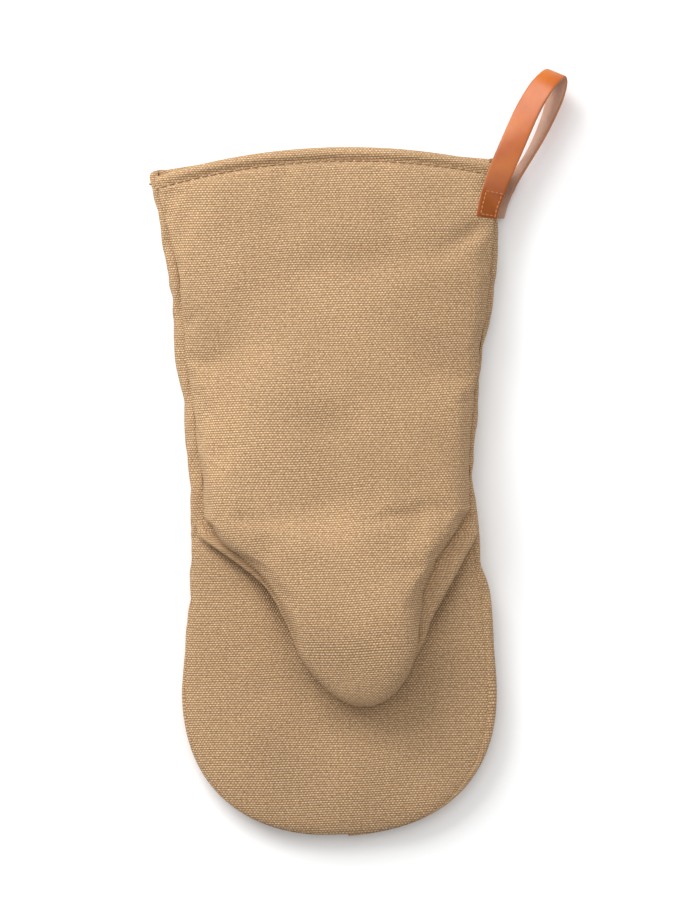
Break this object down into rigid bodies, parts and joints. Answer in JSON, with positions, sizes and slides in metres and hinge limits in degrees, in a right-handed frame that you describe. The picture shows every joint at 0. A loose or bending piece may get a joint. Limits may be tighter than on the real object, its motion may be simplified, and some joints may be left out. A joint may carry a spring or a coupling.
{
  "type": "oven mitt",
  "caption": "Quilted canvas oven mitt with a long cuff, a grip mouth between thumb and finger pouch, terry lining and a leather hanging loop.",
  "frame": {"origin": "on the flat outer face of the back panel, on the mitt's middle line, 10 mm to the cuff's side of the crotch", "axes": "+Y from the fingertips to the cuff, +Z out of the back towards the thumb, +X to the side of the hanging loop"},
  "size_m": [0.1963, 0.357, 0.0427],
  "materials": {
    "canvas": "matte plain weave",
    "wadding": "matte",
    "terry": "matte looped pile",
    "leather": "satin",
    "thread": "matte"
  },
  "bodies": {
    "cuff": {"back_cuff_canvas": "canvas", "back_cuff_lining": "terry", "back_cuff_wadding": "wadding", "front_cuff_canvas": "canvas", "front_cuff_lining": "terry", "front_cuff_wadding": "wadding", "hem_bobbin_thread": "thread", "hem_needle_thread": "thread", "left_seam_thread": "thread", "right_seam_thread": "thread", "strap_back_tab": "leather", "strap_bobbin_thread": "thread", "strap_front_tab": "leather", "strap_needle_thread": "thread"},
    "fingers": {"back_finger_canvas": "canvas", "back_finger_lining": "terry", "back_finger_wadding": "wadding", "finger_seam_thread": "thread", "palm_finger_canvas": "canvas", "palm_finger_lining": "terry", "palm_finger_wadding": "wadding"},
    "thumb": {"front_thumb_canvas": "canvas", "front_thumb_lining": "terry", "front_thumb_wadding": "wadding", "palm_thumb_canvas": "canvas", "palm_thumb_lining": "terry", "palm_thumb_wadding": "wadding", "thumb_seam_thread": "thread"},
    "loop": {"strap_loop": "leather"}
  },
  "joints": [
    {"name": "thumb_open", "type": "hinge", "parent": "cuff", "child": "thumb", "pos_m": [0, -0.01, 0.0352], "axis": [-1, 0, 0], "range_deg": [0, 45], "stiffness_Nm_per_rad": 0.3},
    {"name": "fingers_bend_back", "type": "hinge", "parent": "cuff", "child": "fingers", "pos_m": [0, -0.01, 0.0058], "axis": [1, 0, 0], "range_deg": [0, 25], "stiffness_Nm_per_rad": 0.8},
    {"name": "loop_swing", "type": "hinge", "parent": "cuff", "child": "loop", "pos_m": [0.08497, 0.15276, 0.0104], "axis": [0.9267, -0.3759, 0], "range_deg": [-25, 25], "stiffness_Nm_per_rad": 0.02}
  ]
}
